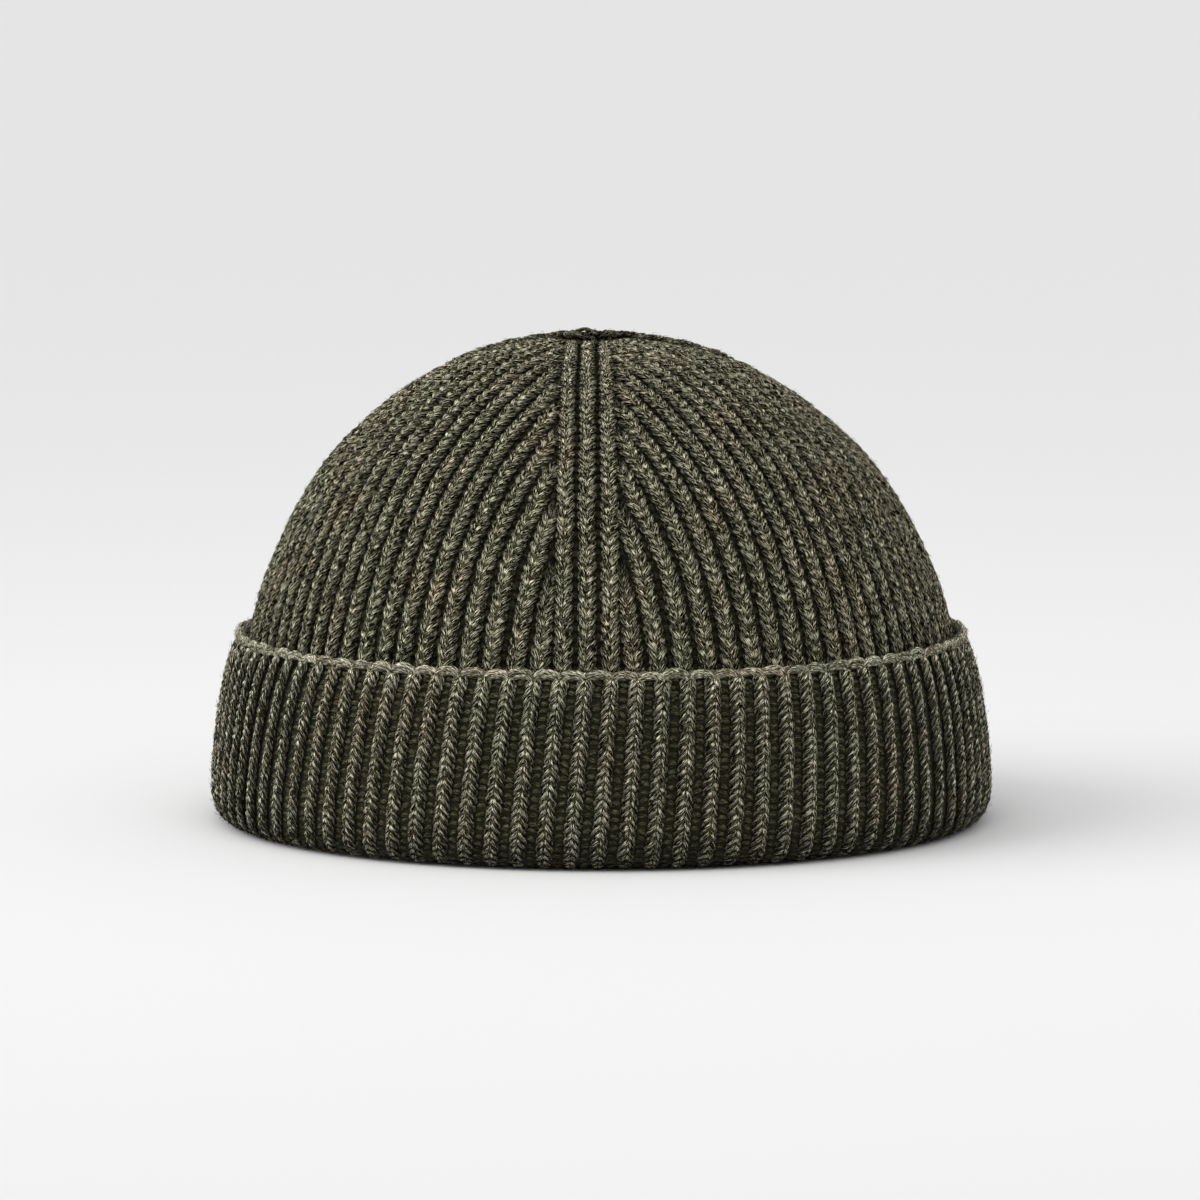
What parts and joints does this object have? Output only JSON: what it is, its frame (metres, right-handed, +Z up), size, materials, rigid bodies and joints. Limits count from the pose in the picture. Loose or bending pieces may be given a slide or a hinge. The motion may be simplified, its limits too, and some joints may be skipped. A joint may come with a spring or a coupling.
{
  "type": "fisherman beanie",
  "caption": "Short ribbed knit cap with a close domed crown, decrease columns meeting at the top, and a wide turned-up cuff it stands on.",
  "frame": {"origin": "middle of the ring that the cap stands on, at the height of that ring", "axes": "+Z up through the crown, -Y towards the front column of decreases, +X to the right seen from the front"},
  "size_m": [0.1792, 0.1792, 0.1127],
  "materials": {
    "crown_knit": "dark olive-grey melange rib knit, matt and slightly hairy",
    "cuff_knit": "the same rib knit turned up, a little darker in its wider furrows",
    "edge_knit": "lighter, rubbed cast-on edge of the same yarn",
    "tie_yarn": "dark olive yarn, matt"
  },
  "bodies": {
    "root": {"crown": "crown_knit", "cuff": "cuff_knit", "cuff_edge": "edge_knit", "closure_tie": "tie_yarn"}
  },
  "joints": []
}
